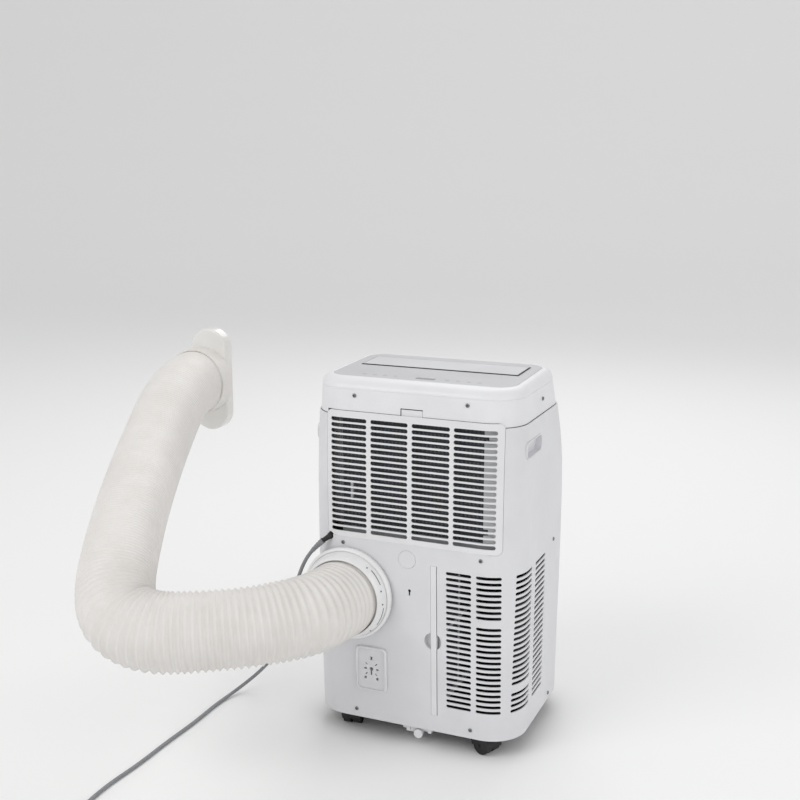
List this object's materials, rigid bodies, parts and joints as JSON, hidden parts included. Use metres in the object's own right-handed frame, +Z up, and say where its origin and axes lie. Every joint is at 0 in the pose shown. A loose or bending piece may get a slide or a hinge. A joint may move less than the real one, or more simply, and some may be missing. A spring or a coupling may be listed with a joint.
{
  "type": "portable air conditioner",
  "caption": "Upright portable room cooler on castors with slatted filter panel, pull-out lower filter, top louver flap, ribbed exhaust duct with window nozzle and mains cord.",
  "frame": {"origin": "on the floor, under the middle of the casing", "axes": "+Z up, +Y towards the rear (filter and exhaust side), +X towards the casing's left side as seen from its front"},
  "size_m": [1.0012, 1.005, 0.754],
  "materials": {
    "casing_white": "fine-textured light grey-white ABS moulding",
    "cover_white": "satin white ABS moulding",
    "panel_grey": "satin light grey ABS",
    "flap_white": "satin white ABS moulding",
    "display_dark": "smoked display window",
    "board_green": "solder-masked circuit board",
    "duct_grey": "grey moulded air duct",
    "vane_grey": "dark grey moulded vanes",
    "mesh_slate": "dark nylon filter mesh",
    "frame_white": "satin white moulding",
    "black_plastic": "black moulded nylon",
    "wheel_black": "black castor wheels",
    "cord_grey": "mid-grey PVC cord jacket",
    "plug_grey": "moulded PVC plug",
    "hose_white": "warm white corrugated film duct",
    "coupling_white": "glossy white moulded coupling",
    "nozzle_white": "glossy white moulded window nozzle",
    "galvanised": "zinc-coated pressed steel",
    "compressor_black": "black enamelled steel shell",
    "coil_aluminium": "aluminium fins with copper end bends",
    "copper": "copper pipe",
    "motor_steel": "zinc-coated motor can",
    "fan_grey": "dark grey moulded fan wheel",
    "screw_black": "black zinc-coated screws",
    "rubber_black": "black rubber",
    "foam_grey": "grey expanded moulding"
  },
  "bodies": {
    "air_conditioner": {"base_pan": "black_plastic", "compressor": "compressor_black", "condenser_coil": "coil_aluminium", "control_board": "board_green", "control_box": "galvanised", "control_panel": "panel_grey", "cord_gland": "plug_grey", "discharge_pipe": "copper", "display_window": "display_dark", "drain_spout": "frame_white", "evaporator_coil": "coil_aluminium", "exhaust_hose": "hose_white", "exhaust_socket": "duct_grey", "flap_motor": "motor_steel", "front_panel": "casing_white", "hose_coupling": "coupling_white", "left_grip": "casing_white", "lower_fan_motor": "motor_steel", "lower_scroll": "foam_grey", "outlet_duct": "duct_grey", "partition": "foam_grey", "plug_holder": "casing_white", "power_cord": "cord_grey", "power_cord_coil": "cord_grey", "power_plug": "plug_grey", "rear_housing": "casing_white", "right_grip": "casing_white", "rubber_mounts": "rubber_black", "screws": "screw_black", "slinger_motor": "motor_steel", "suction_pipe": "copper", "top_cover": "cover_white", "upper_fan_motor": "motor_steel", "upper_scroll": "foam_grey", "window_collar": "hose_white", "window_nozzle": "nozzle_white"},
    "louver_flap": {"louver_flap": "flap_white"},
    "tie_bar": {"tie_bar": "vane_grey"},
    "upper_filter": {"upper_filter_frame": "frame_white", "upper_filter_mesh": "mesh_slate"},
    "lower_filter": {"lower_filter_frame": "frame_white", "lower_filter_mesh": "mesh_slate"},
    "drain_cover": {"drain_cover": "casing_white"},
    "drain_cap": {"drain_cap": "frame_white"},
    "lower_blower": {"lower_blower": "fan_grey"},
    "upper_blower": {"upper_blower": "fan_grey"},
    "slinger_wheel": {"slinger_wheel": "black_plastic"},
    "swing_vane_1": {"swing_vane_1": "vane_grey"},
    "swing_vane_2": {"swing_vane_2": "vane_grey"},
    "swing_vane_3": {"swing_vane_3": "vane_grey"},
    "swing_vane_4": {"swing_vane_4": "vane_grey"},
    "swing_vane_5": {"swing_vane_5": "vane_grey"},
    "castor_hood_rear_left": {"castor_hood_rear_left": "black_plastic"},
    "castor_wheels_rear_left": {"castor_wheels_rear_left": "wheel_black"},
    "castor_hood_rear_right": {"castor_hood_rear_right": "black_plastic"},
    "castor_wheels_rear_right": {"castor_wheels_rear_right": "wheel_black"},
    "castor_hood_front_left": {"castor_hood_front_left": "black_plastic"},
    "castor_wheels_front_left": {"castor_wheels_front_left": "wheel_black"},
    "castor_hood_front_right": {"castor_hood_front_right": "black_plastic"},
    "castor_wheels_front_right": {"castor_wheels_front_right": "wheel_black"}
  },
  "joints": [
    {"name": "flap_hinge", "type": "hinge", "parent": "air_conditioner", "child": "louver_flap", "pos_m": [0, 0.0174, 0.73937], "axis": [-1, 0, 0], "range_deg": [0, 80]},
    {"name": "vane_1_pivot", "type": "hinge", "parent": "air_conditioner", "child": "swing_vane_1", "pos_m": [-0.124, -0.0185, 0.708], "axis": [0, 1, 0], "range_deg": [-30, 30]},
    {"name": "vane_2_pivot", "type": "hinge", "parent": "air_conditioner", "child": "swing_vane_2", "pos_m": [-0.062, -0.0185, 0.708], "axis": [0, 1, 0], "range_deg": [-30, 30]},
    {"name": "vane_3_pivot", "type": "hinge", "parent": "air_conditioner", "child": "swing_vane_3", "pos_m": [0, -0.0185, 0.708], "axis": [0, 1, 0], "range_deg": [-30, 30]},
    {"name": "vane_4_pivot", "type": "hinge", "parent": "air_conditioner", "child": "swing_vane_4", "pos_m": [0.062, -0.0185, 0.708], "axis": [0, 1, 0], "range_deg": [-30, 30]},
    {"name": "vane_5_pivot", "type": "hinge", "parent": "air_conditioner", "child": "swing_vane_5", "pos_m": [0.124, -0.0185, 0.708], "axis": [0, 1, 0], "range_deg": [-30, 30]},
    {"name": "tie_bar_pivot", "type": "hinge", "parent": "swing_vane_1", "child": "tie_bar", "pos_m": [-0.124, -0.0185, 0.69], "axis": [0, 1, 0], "range_deg": [-30, 30]},
    {"name": "upper_filter_hinge", "type": "hinge", "parent": "air_conditioner", "child": "upper_filter", "pos_m": [-0.006, 0.175, 0.4258], "axis": [-1, 0, 0], "range_deg": [0, 75]},
    {"name": "lower_filter_slide", "type": "slide", "parent": "air_conditioner", "child": "lower_filter", "axis": [0, 1, 0], "range_m": [0, 0.25]},
    {"name": "drain_cover_pull", "type": "slide", "parent": "air_conditioner", "child": "drain_cover", "axis": [0, 1, 0], "range_m": [0, 0.02]},
    {"name": "drain_cap_pull", "type": "slide", "parent": "air_conditioner", "child": "drain_cap", "axis": [0, 1, 0], "range_m": [0, 0.02]},
    {"name": "lower_blower_spin", "type": "hinge", "parent": "air_conditioner", "child": "lower_blower", "pos_m": [0.1, -0.02, 0.232], "axis": [1, 0, 0], "continuous": true},
    {"name": "upper_blower_spin", "type": "hinge", "parent": "air_conditioner", "child": "upper_blower", "pos_m": [0, 0, 0.545], "axis": [0, 1, 0], "continuous": true},
    {"name": "slinger_spin", "type": "hinge", "parent": "air_conditioner", "child": "slinger_wheel", "pos_m": [0.009, 0.128, 0.074], "axis": [1, 0, 0], "continuous": true},
    {"name": "castor_rear_left_swivel", "type": "hinge", "parent": "air_conditioner", "child": "castor_hood_rear_left", "pos_m": [0.144, 0.13, 0.05], "axis": [0, 0, 1], "continuous": true},
    {"name": "castor_rear_left_roll", "type": "hinge", "parent": "castor_hood_rear_left", "child": "castor_wheels_rear_left", "pos_m": [0.14525, 0.12109, 0.02], "axis": [0.9903, 0.1392, 0], "continuous": true},
    {"name": "castor_rear_right_swivel", "type": "hinge", "parent": "air_conditioner", "child": "castor_hood_rear_right", "pos_m": [-0.144, 0.13, 0.05], "axis": [0, 0, 1], "continuous": true},
    {"name": "castor_rear_right_roll", "type": "hinge", "parent": "castor_hood_rear_right", "child": "castor_wheels_rear_right", "pos_m": [-0.15216, 0.1338, 0.02], "axis": [-0.4226, -0.9063, 0], "continuous": true},
    {"name": "castor_front_left_swivel", "type": "hinge", "parent": "air_conditioner", "child": "castor_hood_front_left", "pos_m": [0.144, -0.13, 0.05], "axis": [0, 0, 1], "continuous": true},
    {"name": "castor_front_left_roll", "type": "hinge", "parent": "castor_hood_front_left", "child": "castor_wheels_front_left", "pos_m": [0.14034, -0.13822, 0.02], "axis": [0.9135, -0.4067, 0], "continuous": true},
    {"name": "castor_front_right_swivel", "type": "hinge", "parent": "air_conditioner", "child": "castor_hood_front_right", "pos_m": [-0.144, -0.13, 0.05], "axis": [0, 0, 1], "continuous": true},
    {"name": "castor_front_right_roll", "type": "hinge", "parent": "castor_hood_front_right", "child": "castor_wheels_front_right", "pos_m": [-0.14167, -0.13869, 0.02], "axis": [0.9659, 0.2588, 0], "continuous": true}
  ],
  "couplings": [
    {"joint": "vane_2_pivot", "follows": "vane_1_pivot", "ratio": 1},
    {"joint": "vane_3_pivot", "follows": "vane_1_pivot", "ratio": 1},
    {"joint": "vane_4_pivot", "follows": "vane_1_pivot", "ratio": 1},
    {"joint": "vane_5_pivot", "follows": "vane_1_pivot", "ratio": 1},
    {"joint": "tie_bar_pivot", "follows": "vane_1_pivot", "ratio": -1}
  ]
}
